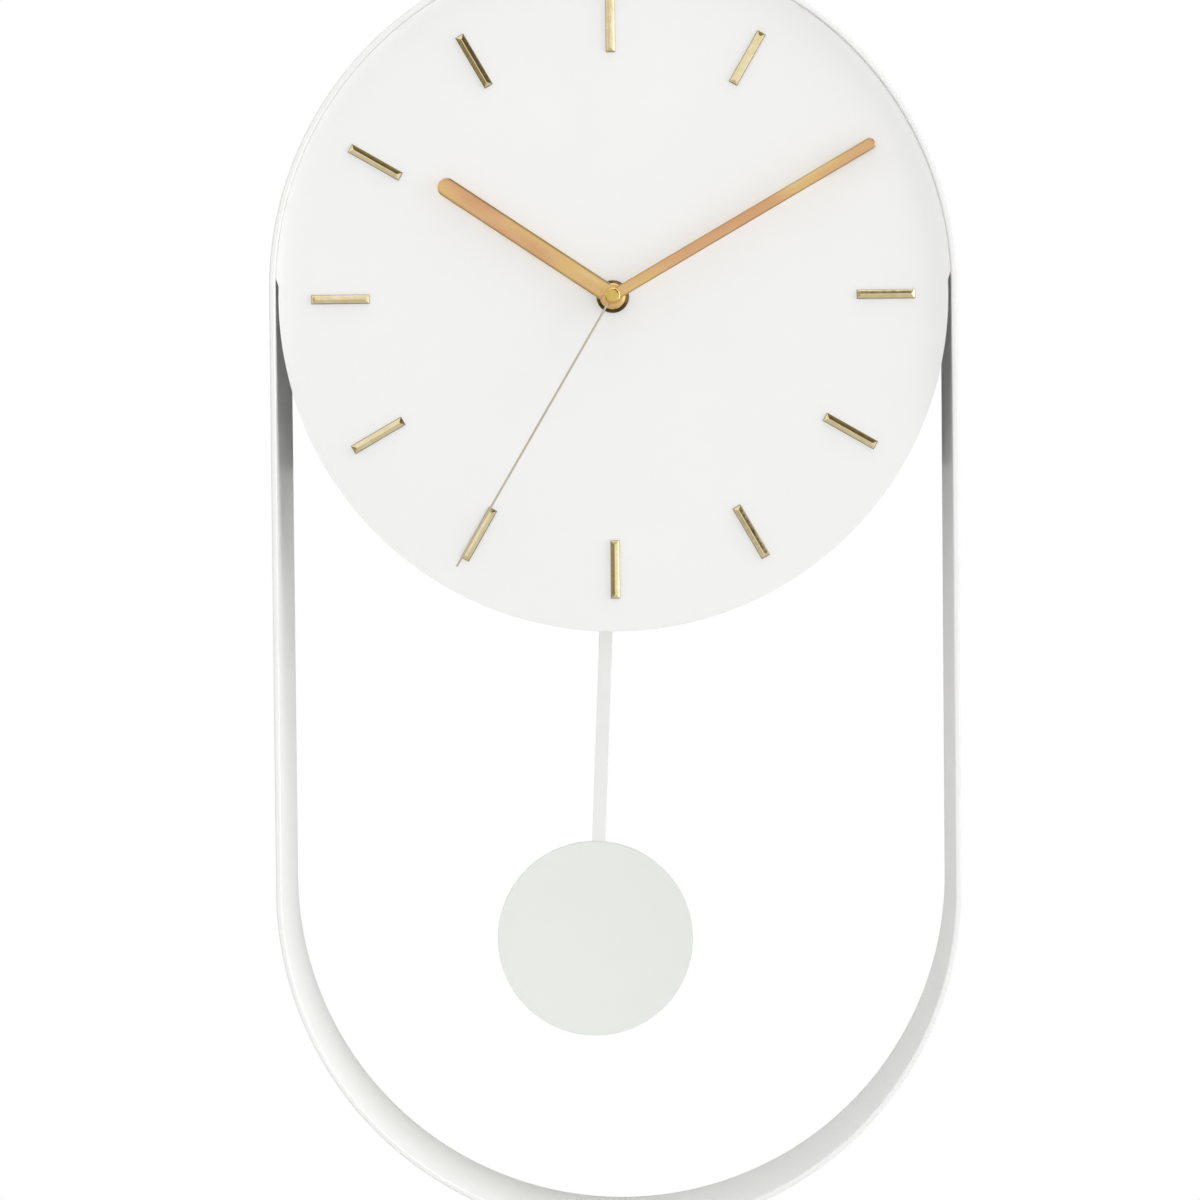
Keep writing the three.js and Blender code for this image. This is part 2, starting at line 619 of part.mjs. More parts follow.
place(shaft, 'motor_stator', stator(), zincSteel());
place(shaft, 'motor_coil', motorCoil(), copper());
place(shaft, 'drive_coil', plate(driveCoilRing, INSIDE_BACK, INSIDE_BACK - DRIVE_COIL.t, 10), copper());

// ---------------------------------------------------------------- pendulum

const PIN_R = 0.9;
const LEVER = { half: 5, length: 23, front: CASE_BACK + 0.5, t: 2.4 };
const LEVER_BACK = LEVER.front + LEVER.t;
const MAGNET_R = 2.5;
const PEG_AT = { x: 0, y: -20 };
const PEG_R = 1.2;
const RIVET = { stem: 0.8, head: 1.8, t: 0.6 };
const ROD = { halfWidth: 2.2, t: 0.8, top: -16.6, bottom: -BOB_DROP - 8 };
const ROD_BACK = LEVER_BACK + ROD.t;
const BOB_T = 1.2;

function pivotPin() {
  const at = { x: 0, y: -PIVOT_DROP };
  return join(rod(PIN_R, LEVER_BACK + 0.9, CASE_BACK, at), rod(2, LEVER_BACK + 0.9, LEVER_BACK + 0.2, at));
}

function lever() {
  const { half, length, front } = LEVER;
  const outline = new THREE.Shape();
  outline.absarc(0, 0, half, 0, Math.PI);
  outline.absarc(0, -length, half, Math.PI, 2 * Math.PI);
  outline.holes.push(circle(PIN_R + RUNNING));
  outline.holes.push(circle(MAGNET_R + RUNNING, 0, -MAGNET_DROP));
  return join(plate(outline, LEVER_BACK, front), rod(PEG_R, ROD_BACK + 0.6, LEVER_BACK - 0.5, PEG_AT));
}

function driveMagnet() {
  return rod(MAGNET_R, LEVER_BACK, LEVER.front - 0.2, { x: 0, y: -MAGNET_DROP }, 8);
}

function bob() {
  return rod(BOB_R, LEVER_BACK, LEVER_BACK - BOB_T, { x: 0, y: -BOB_DROP }, 32);
}

function pendulumRod() {
  const { halfWidth, top, bottom } = ROD;
  const outline = rectangle(-halfWidth, bottom, halfWidth, top);
  outline.holes.push(circle(PEG_R + RUNNING, PEG_AT.x, PEG_AT.y));
  outline.holes.push(circle(RIVET.stem + RUNNING, 0, -BOB_DROP));
  return plate(outline, ROD_BACK, LEVER_BACK, 6);
}

function bobRivet() {
  const at = { x: 0, y: -BOB_DROP };
  const { stem, head, t } = RIVET;
  return join(rod(stem, ROD_BACK + t, LEVER_BACK, at), rod(head, ROD_BACK + t, ROD_BACK, at));
}

place(shaft, 'pendulum_pin', pivotPin(), zincSteel());
place(pendulum, 'pendulum_lever', lever(), whitePlastic());
place(pendulum, 'drive_magnet', driveMagnet(), ferrite());
place(pendulum, 'pendulum_rod', pendulumRod(), paint());
place(pendulum, 'bob', bob(), bobPaint());
place(pendulum, 'bob_rivet', bobRivet(), zincSteel());

export default clock;
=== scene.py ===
"""Looks for the pendulum wall clock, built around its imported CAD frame. Metres, in the frame's axes:
X to the right as the dial is read, Z up, the dial faces -Y and the wall is at Y = 0."""

import json
import math

import bmesh
import bpy
from mathutils import Matrix, Vector


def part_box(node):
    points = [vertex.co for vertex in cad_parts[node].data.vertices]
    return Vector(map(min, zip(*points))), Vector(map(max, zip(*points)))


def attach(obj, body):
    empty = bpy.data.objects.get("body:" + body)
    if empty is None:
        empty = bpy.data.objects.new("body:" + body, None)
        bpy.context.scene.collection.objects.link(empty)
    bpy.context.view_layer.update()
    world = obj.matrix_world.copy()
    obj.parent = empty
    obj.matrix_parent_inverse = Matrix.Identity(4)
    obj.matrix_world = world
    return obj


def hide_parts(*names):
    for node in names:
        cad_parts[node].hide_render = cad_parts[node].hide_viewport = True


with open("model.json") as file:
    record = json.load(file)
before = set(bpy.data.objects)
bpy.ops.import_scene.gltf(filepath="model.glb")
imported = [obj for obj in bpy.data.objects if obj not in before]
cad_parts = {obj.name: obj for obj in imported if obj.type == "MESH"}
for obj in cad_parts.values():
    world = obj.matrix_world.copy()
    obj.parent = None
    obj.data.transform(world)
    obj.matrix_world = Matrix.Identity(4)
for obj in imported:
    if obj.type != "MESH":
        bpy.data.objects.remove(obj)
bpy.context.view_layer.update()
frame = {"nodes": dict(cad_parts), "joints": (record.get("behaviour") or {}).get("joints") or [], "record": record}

record = frame["record"]
BODY_OF = {node: body for body, nodes in record["behaviour"]["bodies"].items() for node in nodes}
SLOT_OF = {row["node"]: row["material_slot"] for row in record["subparts"]}
JOINTS = {joint["name"]: joint for joint in frame["joints"]}

MM = 0.001

# ---------------------------------------------------------------- sizes, most of them read from the frame

BAND_LOW, BAND_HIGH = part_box("frame_band")
DIAL_LOW, DIAL_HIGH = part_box("dial")
OUTER_R = BAND_HIGH.x
TOP_ARC_Z = BAND_HIGH.z - OUTER_R
LOWER_ARC_Z = BAND_LOW.z + OUTER_R
STRIP_T = 1.8 * MM
INNER_R = OUTER_R - STRIP_T
SHAFT_Z = JOINTS["second_spin"]["pos_m"][2]
PIVOT_Z = JOINTS["pendulum_swing"]["pos_m"][2]
DIAL_R = SHAFT_Z - DIAL_LOW.z  # of the free lower half
DIAL_FIT_R = INNER_R - 0.02 * MM  # of the upper half, inside the strip
DIAL_STEP = (7 * MM, 4.5 * MM)  # above the shaft, where the upper and the lower edge end


def farthest(node, axis_z):
    """(distance, angle clockwise from straight up) of a node's farthest point from an axis along Y."""
    best = max(
        (Vector((v.co.x, v.co.z - axis_z)) for v in frame["nodes"][node].data.vertices),
        key=lambda reach: reach.length,
    )
    return best.length, math.atan2(best.x, best.y)


def about_axis(axis_z, angle):
    """Turns a shape drawn about the origin clockwise, and lifts it to an axis at that height."""
    return Matrix.Translation((0, 0, axis_z)) @ Matrix.Rotation(angle, 4, "Y")


# ---------------------------------------------------------------- mesh building


def arc(cx, cz, radius, start, end, count):
    """Points of an arc, both ends included. Angles are in degrees, from +X towards +Z."""
    points = []
    for i in range(count + 1):
        angle = math.radians(start + (end - start) * i / count)
        points.append((cx + radius * math.cos(angle), cz + radius * math.sin(angle)))
    return points


def circle(radius, cx=0.0, cz=0.0, count=96):
    """An outline, which is a function of how far in from its edge it is drawn."""
    return lambda inset: arc(cx, cz, radius - inset, 0, 360, count)[:-1]


def rectangle(left, bottom, right, top, corner, count=6):
    """The outline of a rectangle with round corners."""

    def outline(inset):
        r = corner - inset
        return (
            arc(right - corner, bottom + corner, r, -90, 0, count)
            + arc(right - corner, top - corner, r, 0, 90, count)
            + arc(left + corner, top - corner, r, 90, 180, count)
            + arc(left + corner, bottom + corner, r, 180, 270, count)
        )

    return outline


def edge_profile(back, front, back_round, front_round, steps=5):
    """(inset, y) pairs from the back cap to the front cap. A round is (how far in, how deep)."""
    profile = []
    for i in range(steps + 1):
        turn = math.radians(90 * i / steps)
        profile.append((back_round[0] * (1 - math.sin(turn)), back - back_round[1] * (1 - math.cos(turn))))
    for i in range(steps + 1):
        turn = math.radians(90 * i / steps)
        profile.append((front_round[0] * (1 - math.cos(turn)), front + front_round[1] * (1 - math.sin(turn))))
    return profile


def bridge(bm, rings, closed=False):
    """Faces between each ring of vertices and the next. A ring may be one vertex, repeated."""
    pairs = list(zip(rings, rings[1:]))
    if closed:
        pairs.append((rings[-1], rings[0]))
    for a, b in pairs:
        for i in range(len(a)):
            j = (i + 1) % len(a)
            corners = dict.fromkeys((a[i], a[j], b[j], b[i]))
            bm.faces.new(list(corners))


def ring_edges(bm, ring):
    return [bm.edges.get((ring[i], ring[(i + 1) % len(ring)])) for i in range(len(ring))]


def to_object(bm, name, smooth_angle=32, weighted=True):
    """Ends a bmesh as an object, shaded smooth up to that angle in degrees."""
    bmesh.ops.recalc_face_normals(bm, faces=bm.faces)
    mesh = bpy.data.meshes.new(name)
    bm.to_mesh(mesh)
    bm.free()
    mesh.polygons.foreach_set("use_smooth", [True] * len(mesh.polygons))
    mesh.set_sharp_from_angle(angle=math.radians(smooth_angle))
    piece = bpy.data.objects.new(name, mesh)
    bpy.context.scene.collection.objects.link(piece)
    if weighted:
        modifier = piece.modifiers.new("weighted_normals", "WEIGHTED_NORMAL")
        modifier.keep_sharp = True
        modifier.weight = 80
    return piece


def plate(name, outline, holes, back, front, back_round, front_round=None, place=None):
    """A flat plate with rounded edges, drawn from outlines and put in place by a matrix."""
    profile = edge_profile(back, front, back_round, front_round or back_round)
    caps = {0: [], len(profile) - 1: []}
    bm = bmesh.new()
    for shape, sign in [(outline, 1)] + [(hole, -1) for hole in holes]:
        rings = []
        for inset, y in profile:
            rings.append([bm.verts.new((x, y, z)) for x, z in shape(sign * inset)])
        bridge(bm, rings)
        for at, edges in caps.items():
            edges.extend(ring_edges(bm, rings[at]))
    for edges in caps.values():
        bmesh.ops.triangle_fill(bm, edges=edges, use_beauty=True)
    if place is not None:
        bmesh.ops.transform(bm, matrix=place, verts=bm.verts)
    return to_object(bm, name)


def turned(name, profile, x=0.0, z=0.0, count=96, closed=False, smooth_angle=32):
    """A body of revolution about an axis along Y. The profile is (radius, y) pairs, back to front."""
    bm = bmesh.new()
    rings = []
    for radius, y in profile:
        if radius < 1e-7:
            rings.append([bm.verts.new((x, y, z))] * count)
        else:
            rings.append([bm.verts.new((px, y, pz)) for px, pz in arc(x, z, radius, 0, 360, count)[:-1]])
    bridge(bm, rings, closed)
    return to_object(bm, name, smooth_angle)


# ---------------------------------------------------------------- materials


class Shader:
    """A Principled material with short ways to add the nodes that these finishes share."""

    def __init__(self, name, **sockets):
        self.material = bpy.data.materials.new(name)
        self.material.use_nodes = True
        self.tree = self.material.node_tree
        self.bsdf = self.tree.nodes["Principled BSDF"]
        for socket, value in sockets.items():
            self.bsdf.inputs[socket.replace("_", " ")].default_value = value

    def node(self, kind, **values):
        made = self.tree.nodes.new(kind)
        for name, value in values.items():
            if hasattr(made, name):
                setattr(made, name, value)
            else:
                made.inputs[name.replace("_", " ")].default_value = value
        return made

    def link(self, source, target):
        self.tree.links.new(source, target)

    def coordinates(self, scale=(1, 1, 1), turn=0.0, centre_z=0.0):
        """Object coordinates, turned about Y so that Z runs along the piece, then scaled."""
        position = self.node("ShaderNodeTexCoord")
        centred = self.node("ShaderNodeMapping")
        centred.inputs["Location"].default_value = (0, 0, -centre_z)
        turned_back = self.node("ShaderNodeMapping")
        turned_back.inputs["Rotation"].default_value = (0, -turn, 0)
        stretched = self.node("ShaderNodeMapping")
        stretched.inputs["Scale"].default_value = scale
        self.link(position.outputs["Object"], centred.inputs["Vector"])
        self.link(centred.outputs["Vector"], turned_back.inputs["Vector"])
        self.link(turned_back.outputs["Vector"], stretched.inputs["Vector"])
        return stretched.outputs["Vector"]

    def noise(self, vector, scale, detail=3.0, roughness=0.55):
        made = self.node("ShaderNodeTexNoise", Scale=scale, Detail=detail, Roughness=roughness)
        self.link(vector, made.inputs["Vector"])
        return made.outputs["Fac"]

    def ramp(self, factor, stops):
        made = self.node("ShaderNodeValToRGB")
        elements = made.color_ramp.elements
        while len(elements) < len(stops):
            elements.new(0.5)
        for element, (at, color) in zip(elements, stops):
            element.position = at
            element.color = (*color, 1)
        self.link(factor, made.inputs["Fac"])
        return made.outputs["Color"]

    def between(self, factor, low, high, start=0.0, end=1.0):
        """Maps a factor onto a range of plain numbers."""
        made = self.node("ShaderNodeMapRange")
        for socket, value in (("From Min", start), ("From Max", end), ("To Min", low), ("To Max", high)):
            made.inputs[socket].default_value = value
        self.link(factor, made.inputs["Value"])
        return made.outputs["Result"]

    def split(self, vector, axis):
        made = self.node("ShaderNodeSeparateXYZ")
        self.link(vector, made.inputs["Vector"])
        return made.outputs[axis]

    def mix(self, factor, under, over):
        """Under where the factor is 0, over where it is 1. Over is a plain colour."""
        made = self.node("ShaderNodeMixRGB")
        self.link(factor, made.inputs["Fac"])
        self.link(under, made.inputs["Color1"])
        made.inputs["Color2"].default_value = (*over, 1)
        return made.outputs["Color"]

    def bump(self, height, distance, strength=1.0):
        made = self.node("ShaderNodeBump")
        made.inputs["Distance"].default_value = distance
        made.inputs["Strength"].default_value = strength
        self.link(height, made.inputs["Height"])
        if self.bsdf.inputs["Normal"].links:
            self.link(self.bsdf.inputs["Normal"].links[0].from_socket, made.inputs["Normal"])
        self.link(made.outputs["Normal"], self.bsdf.inputs["Normal"])

    def drive(self, socket, source):
        self.link(source, self.bsdf.inputs[socket])

    def roughen(self, noise, low, high):
        """Lets a noise vary the roughness between two values."""
        self.drive("Roughness", self.between(noise, low, high, 0.3, 0.7))


def powder_coat(name, light, dark, roughness):
    """Baked powder paint: a faint orange peel with a finer grain in it, and a trace of uneven colour."""
    shader = Shader(name, Specular_IOR_Level=0.3)
    at = shader.coordinates()
    shader.drive("Base Color", shader.ramp(shader.noise(at, 14, 2), [(0.35, dark), (0.65, light)]))
    shader.roughen(shader.noise(at, 60), roughness - 0.06, roughness + 0.06)
    shader.bump(shader.noise(at, 700, 2), 0.0025 * MM)
    shader.bump(shader.noise(at, 2600, 1), 0.0006 * MM)
    return shader.material


ROSE_TO_YELLOW = [
    (0.34, (0.80, 0.45, 0.235)),
    (0.46, (0.86, 0.53, 0.27)),
    (0.55, (0.88, 0.60, 0.25)),
    (0.68, (1.0, 0.76, 0.46)),
]
CHAMPAGNE = [(0.3, (0.60, 0.55, 0.44)), (0.7, (0.68, 0.62, 0.49))]


def satin_gold(name, turn, tint, half_width):
    """Anodised stamping: grain along the hand, slow drifts of tint, and a painted dark reflection along the long
    edges.
    """
    shader = Shader(name, Metallic=1.0)
    along = shader.coordinates((1, 1, 0.32), turn, SHAFT_Z)
    drift = shader.noise(along, 85, 2, 0.6)
    across = shader.node("ShaderNodeMath", operation="ABSOLUTE")
    shader.link(shader.split(along, "X"), across.inputs[0])
    from_middle = shader.between(across.outputs[0], 0, 1, 0, half_width)
    # A band near each long edge is mixed to dark olive: a painted dark reflection of the crowned edges.
    painted_edge_reflection = shader.ramp(from_middle, [(0.70, (0, 0, 0)), (0.97, (0.75, 0.75, 0.75)), (1.0, (0, 0, 0))])
    shader.drive("Base Color", shader.mix(painted_edge_reflection, shader.ramp(drift, tint), (0.34, 0.27, 0.12)))
    grain = shader.noise(shader.coordinates((1, 1, 0.03), turn, SHAFT_Z), 5200, 3)
    shader.roughen(grain, 0.27, 0.43)
    shader.bump(grain, 0.004 * MM)
    shader.bump(drift, 0.25 * MM, 0.35)
    return shader.material


def polished_brass(name):
    """Tumbled bars: bright faces, slightly wavy, over a low edge painted dark as the shade where the bar stands on
    the dial.
    """
    shader = Shader(name, Metallic=1.0)
    at = shader.coordinates()
    tint = [(0.3, (0.92, 0.76, 0.43)), (0.7, (1.0, 0.88, 0.58))]
    face = shader.ramp(shader.noise(at, 260, 2), tint)
    low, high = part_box("marker_12")
    height = shader.between(shader.split(at, "Y"), 0, 1, high.y, low.y)
    # The lower part of the bar, where it stands on the dial, is painted dark: painted shade at its foot.
    painted_foot_shade = shader.ramp(height, [(0.46, (1, 1, 1)), (0.52, (0, 0, 0))])
    shader.drive("Base Color", shader.mix(painted_foot_shade, face, (0.20, 0.14, 0.05)))
    shader.roughen(shader.noise(at, 900), 0.10, 0.22)
    shader.bump(shader.noise(at, 420, 2), 0.05 * MM, 0.5)
    return shader.material


def turned_metal(name, light, dark, roughness=0.22):
    """Lathe or stamping marks over plain metal."""
    shader = Shader(name, Metallic=1.0)
    at = shader.coordinates()
    shader.drive("Base Color", shader.ramp(shader.noise(at, 500, 3), [(0.3, dark), (0.7, light)]))
    shader.roughen(shader.noise(at, 1500), roughness - 0.08, roughness + 0.1)
    shader.bump(shader.noise(at, 2500, 2), 0.006 * MM)
    return shader.material


def moulded_plastic(name, light, dark, roughness, grain=0.02):
    """A spark-eroded moulding: an even matt grain."""
    shader = Shader(name)
    at = shader.coordinates()
    shader.drive("Base Color", shader.ramp(shader.noise(at, 120, 2), [(0.3, dark), (0.7, light)]))
    shader.roughen(shader.noise(at, 700), roughness - 0.07, roughness + 0.07)
    shader.bump(shader.noise(at, 3200, 2), grain * MM)
    return shader.material


def wound_copper(name):
    """Rows of fine lacquered wire."""
    shader = Shader(name, Metallic=1.0, Roughness=0.3, Coat_Weight=0.5)
    bands = shader.node("ShaderNodeTexWave", bands_direction="X", Scale=1600, Distortion=0.6)
    shader.link(shader.coordinates(), bands.inputs["Vector"])
    tint = [(0.0, (0.30, 0.11, 0.05)), (1.0, (0.82, 0.40, 0.20))]
    shader.drive("Base Color", shader.ramp(bands.outputs["Fac"], tint))
    shader.bump(bands.outputs["Fac"], 0.05 * MM)
    return shader.material


def battery_sleeve(name):
    """Satin shrink sleeve in two plain colours, with a fine metallic fleck."""
    shader = Shader(name, Metallic=0.35, Coat_Weight=0.4)
    at = shader.coordinates()
    low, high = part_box("battery")
    along = shader.between(shader.split(at, "X"), 0, 1, low.x, high.x)
    blue, cream = (0.05, 0.09, 0.14), (0.64, 0.52, 0.32)
    tint = [(0.0, blue), (0.70, blue), (0.705, cream), (1.0, cream)]
    shader.drive("Base Color", shader.ramp(along, tint))
    fleck = shader.noise(at, 2400, 2)
    shader.roughen(fleck, 0.28, 0.42)
    return shader.material


def paper(name, light, dark):
    """Matt paper, very faintly clouded."""
    shader = Shader(name, Roughness=0.9)
    clouds = shader.noise(shader.coordinates(), 3)
    shader.drive("Base Color", shader.ramp(clouds, [(0.3, dark), (0.7, light)]))
    return shader.material


WHITE = (0.862, 0.864, 0.862)
FINISHES = {
    "strip_paint": powder_coat("strip_paint", WHITE, (0.848, 0.852, 0.848), 0.5),
    "bob_paint": powder_coat("bob_paint", (0.80, 0.825, 0.80), (0.785, 0.812, 0.785), 0.55),
    "marker_brass": polished_brass("marker_brass"),
    "turned_brass": turned_metal("turned_brass", (0.80, 0.62, 0.30), (0.62, 0.45, 0.20)),
    "case_plastic": moulded_plastic("case_plastic", (0.022, 0.022, 0.024), (0.014, 0.014, 0.015), 0.5),
    "wheel_plastic": moulded_plastic("wheel_plastic", (0.80, 0.78, 0.71), (0.74, 0.72, 0.65), 0.42, 0.008),
    "steel": turned_metal("steel", (0.66, 0.67, 0.68), (0.50, 0.51, 0.53), 0.32),
    "washer_rubber": moulded_plastic("washer_rubber", (0.03, 0.03, 0.03), (0.02, 0.02, 0.02), 0.85),
    "coil_copper": wound_copper("coil_copper"),
    "magnet_ferrite": moulded_plastic("magnet_ferrite", (0.09, 0.09, 0.10), (0.05, 0.05, 0.055), 0.55),
    "board_laminate": moulded_plastic("board_laminate", (0.03, 0.16, 0.08), (0.02, 0.12, 0.06), 0.35, 0.01),
    "battery_sleeve": battery_sleeve("battery_sleeve"),
}


def stands_for(piece, node, material=None):
    """The piece takes a CAD node's place, body and finish."""
    piece.data.materials.append(material or FINISHES[SLOT_OF[node]])
    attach(piece, BODY_OF[node])
    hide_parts(node)


# ---------------------------------------------------------------- camera and light

CAMERA_AT = (22.7 * MM, -1153.2 * MM, -128.3 * MM)
CAMERA_YAW = math.radians(-1.026)
CAMERA_PITCH = math.radians(-1.496)
CAMERA_ROLL = math.radians(0.528)
LENS_MM = 101.76
SHIFT = (-0.02, -0.03)


def make_camera():
    """A long lens in front of the clock, a little right of its middle."""
    data = bpy.data.cameras.new("camera")
    data.lens = LENS_MM
    data.sensor_width = 36
    data.shift_x, data.shift_y = SHIFT
    data.clip_start = 0.01
    data.clip_end = 50
    camera = bpy.data.objects.new("camera", data)
    aim = Matrix.Rotation(-CAMERA_YAW, 4, "Z") @ Matrix.Rotation(math.radians(90) + CAMERA_PITCH, 4, "X")
    camera.matrix_world = Matrix.Translation(CAMERA_AT) @ aim @ Matrix.Rotation(-CAMERA_ROLL, 4, "Z")
    bpy.context.scene.collection.objects.link(camera)
    bpy.context.scene.camera = camera


def towards(off_axis, clock_angle):
    """A direction that many degrees from the way the dial faces, on the side of that clock angle."""
    off, around = math.radians(off_axis), math.radians(clock_angle)
    return Vector((math.sin(off) * math.sin(around), -math.cos(off), math.sin(off) * math.cos(around)))


FRONT_LEVEL = 0.83
# (direction, radius in degrees, softness in degrees, level added)
PANELS = [
    (towards(100, 85), 36, 12, 2.8),
    (towards(100, 275), 36, 12, 0.15),
    (towards(100, 24), 36, 12, 2.8),
]
# (direction, radius in degrees, softness in degrees, share of each colour taken away)
FLAGS = [
    (towards(52, 34), 27, 4, (0.90, 0.915, 0.955)),
    (towards(53, 252), 20, 4, (0.70, 0.74, 0.84)),
]


def make_world():
    """A white tent in front of the clock, with brighter panels round it and two dark brown flags."""
    world = bpy.data.worlds.new("studio")
    bpy.context.scene.world = world
    world.use_nodes = True
    tree = world.node_tree
    background = tree.nodes["Background"]
    direction = tree.nodes.new("ShaderNodeTexCoord").outputs["Generated"]

    def facing(vector, start, end):
        dot = tree.nodes.new("ShaderNodeVectorMath")
        dot.operation = "DOT_PRODUCT"
        dot.inputs[1].default_value = vector
        tree.links.new(direction, dot.inputs[0])
        step = tree.nodes.new("ShaderNodeMapRange")
        step.interpolation_type = "SMOOTHSTEP"
        step.inputs["From Min"].default_value = start
        step.inputs["From Max"].default_value = end
        tree.links.new(dot.outputs["Value"], step.inputs["Value"])
        return step.outputs["Result"]

    def patch(vector, radius, softness):
        rim, core = math.radians(radius + softness), math.radians(max(radius - softness, 0))
        return facing(vector, math.cos(rim), math.cos(core))

    def maths(kind, operation, *values):
        made = tree.nodes.new(kind)
        made.operation = operation
        for socket, value in zip(made.inputs, values):
            if isinstance(value, bpy.types.NodeSocket):
                tree.links.new(value, socket)
            else:
                socket.default_value = value
        return made.outputs[0]

    number, color = "ShaderNodeMath", "ShaderNodeVectorMath"
    level = FRONT_LEVEL
    for vector, radius, softness, added in PANELS:
        level = maths(number, "MULTIPLY_ADD", patch(vector, radius, softness), added, level)
    light = maths(number, "MULTIPLY", level, facing(towards(0, 0), -0.02, 0.04))
    for vector, radius, softness, share in FLAGS:
        taken = tuple(-part for part in share)
        kept = maths(color, "MULTIPLY_ADD", patch(vector, radius, softness), taken, (1.0, 1.0, 1.0))
        light = maths(color, "MULTIPLY", light, kept)
    # the camera sees plain white wherever there is nothing
    rays = tree.nodes.new("ShaderNodeLightPath")
    strength = maths(color, "MAXIMUM", light, rays.outputs["Is Camera Ray"])
    tree.links.new(strength, background.inputs["Color"])


def make_bounce_card():
    """A white card behind the open loop, which lights the strip's inner face. No camera sees it."""
    half_width, top = INNER_R - 1 * MM, -125 * MM
    behind_wall_plane = 2 * MM
    outline = [(half_width, top), (-half_width, top)] + arc(0, LOWER_ARC_Z, half_width, 180, 360, 48)
    bm = bmesh.new()
    bm.faces.new([bm.verts.new((x, behind_wall_plane, z)) for x, z in outline])
    card = to_object(bm, "bounce_card", weighted=False)
    card.visible_camera = False
    card.visible_shadow = False
    card.data.materials.append(paper("card_paper", (0.93, 0.93, 0.92), (0.90, 0.90, 0.89)))


def make_floor():
    """A plain pale floor, far enough below to stay out of the main view."""
    radius, height = 2.6, -1.25
    bm = bmesh.new()
    bmesh.ops.create_circle(bm, cap_ends=True, radius=radius, segments=96)
    floor = to_object(bm, "floor", weighted=False)
    floor.location = (0, 0, height)
    floor.data.materials.append(paper("floor_paper", (0.95, 0.95, 0.94), (0.93, 0.93, 0.92)))


def straight_lamp(name, way, strength, first_hit_only=False):
    """Parallel light that neither shows in metal nor throws a shadow. It can be kept out of bounced light."""
    data = bpy.data.lights.new(name, "SUN")
    data.energy = strength
    data.use_shadow = False
    lamp = bpy.data.objects.new(name, data)
    lamp.rotation_euler = Vector(way).to_track_quat("-Z", "Y").to_euler()
    lamp.visible_glossy = False
    bpy.context.scene.collection.objects.link(lamp)
    if first_hit_only:
        data.use_nodes = True
        tree = data.node_tree
        emission = next(node for node in tree.nodes if node.type == "EMISSION")
        path = tree.nodes.new("ShaderNodeLightPath")
        direct = tree.nodes.new("ShaderNodeMath")
        direct.operation = "LESS_THAN"
        direct.inputs[1].default_value = 1.5
        tree.links.new(path.outputs["Ray Depth"], direct.inputs[0])
        tree.links.new(direct.outputs["Value"], emission.inputs["Strength"])


make_camera()
make_world()
make_floor()
make_bounce_card()
straight_lamp("face_fill", (0, 1, 0), 0.92)
straight_lamp("back_fill", (0, -1, 0), 1.1, first_hit_only=True)
bpy.context.scene.view_settings.view_transform = "Standard"
bpy.context.scene.view_settings.look = "None"


# ---------------------------------------------------------------- strip and dial


ARC_STEPS = 320


def make_band():
    """The bent strip: a rounded section carried round two half circles and two straight sides."""
    edge = 0.5 * MM
    back, front = BAND_HIGH.y, BAND_LOW.y
    half = STRIP_T / 2
    # the section in (distance from the strip's middle surface, y)
    section = []
    for middle, y, start in (
        (half - edge, front + edge, -90),
        (half - edge, back - edge, 0),
        (-half + edge, back - edge, 90),
        (-half + edge, front + edge, 180),
    ):
        section.extend(arc(middle, y, edge, start, start + 90, 5))
    path = []
    for centre_z, start in ((TOP_ARC_Z, 0), (LOWER_ARC_Z, 180)):
        for i in range(ARC_STEPS + 1):
            angle = math.radians(start + 180 * i / ARC_STEPS)
            path.append((centre_z, math.cos(angle), math.sin(angle)))
    bm = bmesh.new()
    rings = []
    for centre_z, nx, nz in path:
        ring = []
        for out, y in section:
            reach = OUTER_R - half + out
            ring.append(bm.verts.new((reach * nx, y, centre_z + reach * nz)))
        rings.append(ring)
    bridge(bm, rings, closed=True)
    return to_object(bm, "band_strip")


def dial_outline(inset):
    """The upper half meets the strip's arc. Below a small step the edge is a circle about the shaft."""
    fit_r, free_r = DIAL_FIT_R - inset, DIAL_R - inset
    step_top, step_bottom = DIAL_STEP
    fit_end = math.degrees(math.asin((SHAFT_Z + step_top - TOP_ARC_Z) / fit_r))
    free_end = math.degrees(math.asin(step_bottom / free_r))
    upper = arc(0, TOP_ARC_Z, fit_r, fit_end, 180 - fit_end, 160)
    return upper + arc(0, SHAFT_Z, free_r, 180 - free_end, 360 + free_end, 180)


def make_dial():
    """The dial's plate, with the hole for the movement's bushing."""
    edge = 0.15 * MM
    bore = circle(4.2 * MM, 0, SHAFT_Z)
    return plate("dial_plate", dial_outline, [bore], DIAL_HIGH.y, DIAL_LOW.y, (edge, edge))


stands_for(make_band(), "frame_band")
stands_for(make_dial(), "dial")


# ---------------------------------------------------------------- hour markers

# (how far in, how high) in millimetres: an upright side, a broken corner, a flat slope, a soft crest
BAR_SECTION = [(0, 0.30), (0.05, 0.46), (0.16, 0.58), (0.70, 0.86), (1.22, 1.12), (1.34, 1.17), (1.47, 1.20)]


